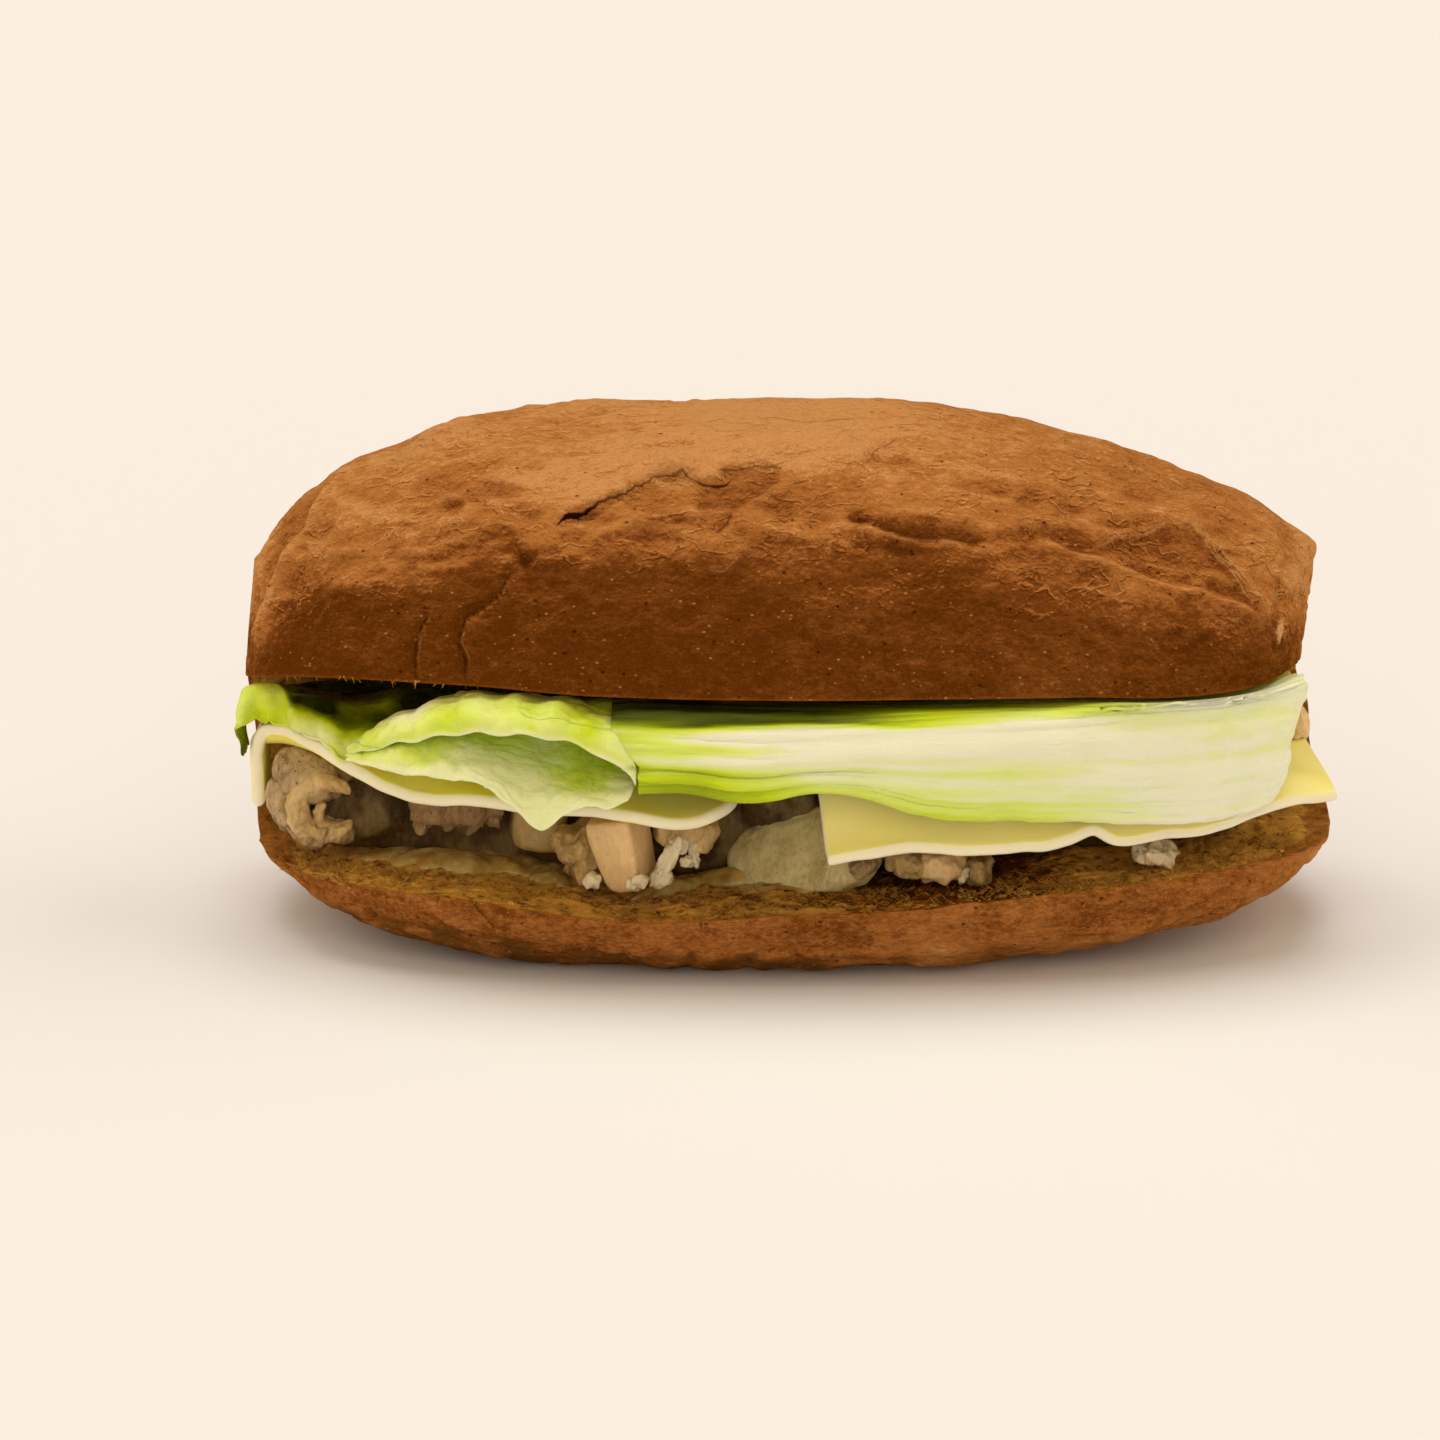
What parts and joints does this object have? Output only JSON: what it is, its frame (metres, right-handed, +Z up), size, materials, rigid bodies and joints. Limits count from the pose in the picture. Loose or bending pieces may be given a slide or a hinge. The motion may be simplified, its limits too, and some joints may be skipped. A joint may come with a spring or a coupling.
{
  "type": "chicken shawarma baguette",
  "caption": "Soft brown sandwich roll, slit along its front and joined along its back, filled with chicken pieces, cheese slices and lettuce leaves.",
  "frame": {"origin": "centre of the bottom face of the bounding box, on the surface that the roll rests on", "axes": "+X along the roll, to the right as seen from its open front; +Y from the open front to the joined back; +Z up"},
  "size_m": [0.1794, 0.0868, 0.0852],
  "materials": {
    "bread": "satin",
    "chicken": "satin",
    "cheese": "satin",
    "lettuce": "satin",
    "sauce": "gloss"
  },
  "bodies": {
    "root": {"bun": "bread", "chicken": "chicken", "cheese_left": "cheese", "cheese_right": "cheese", "lettuce_frill": "lettuce", "lettuce_fold": "lettuce", "lettuce_rib": "lettuce"}
  },
  "joints": []
}
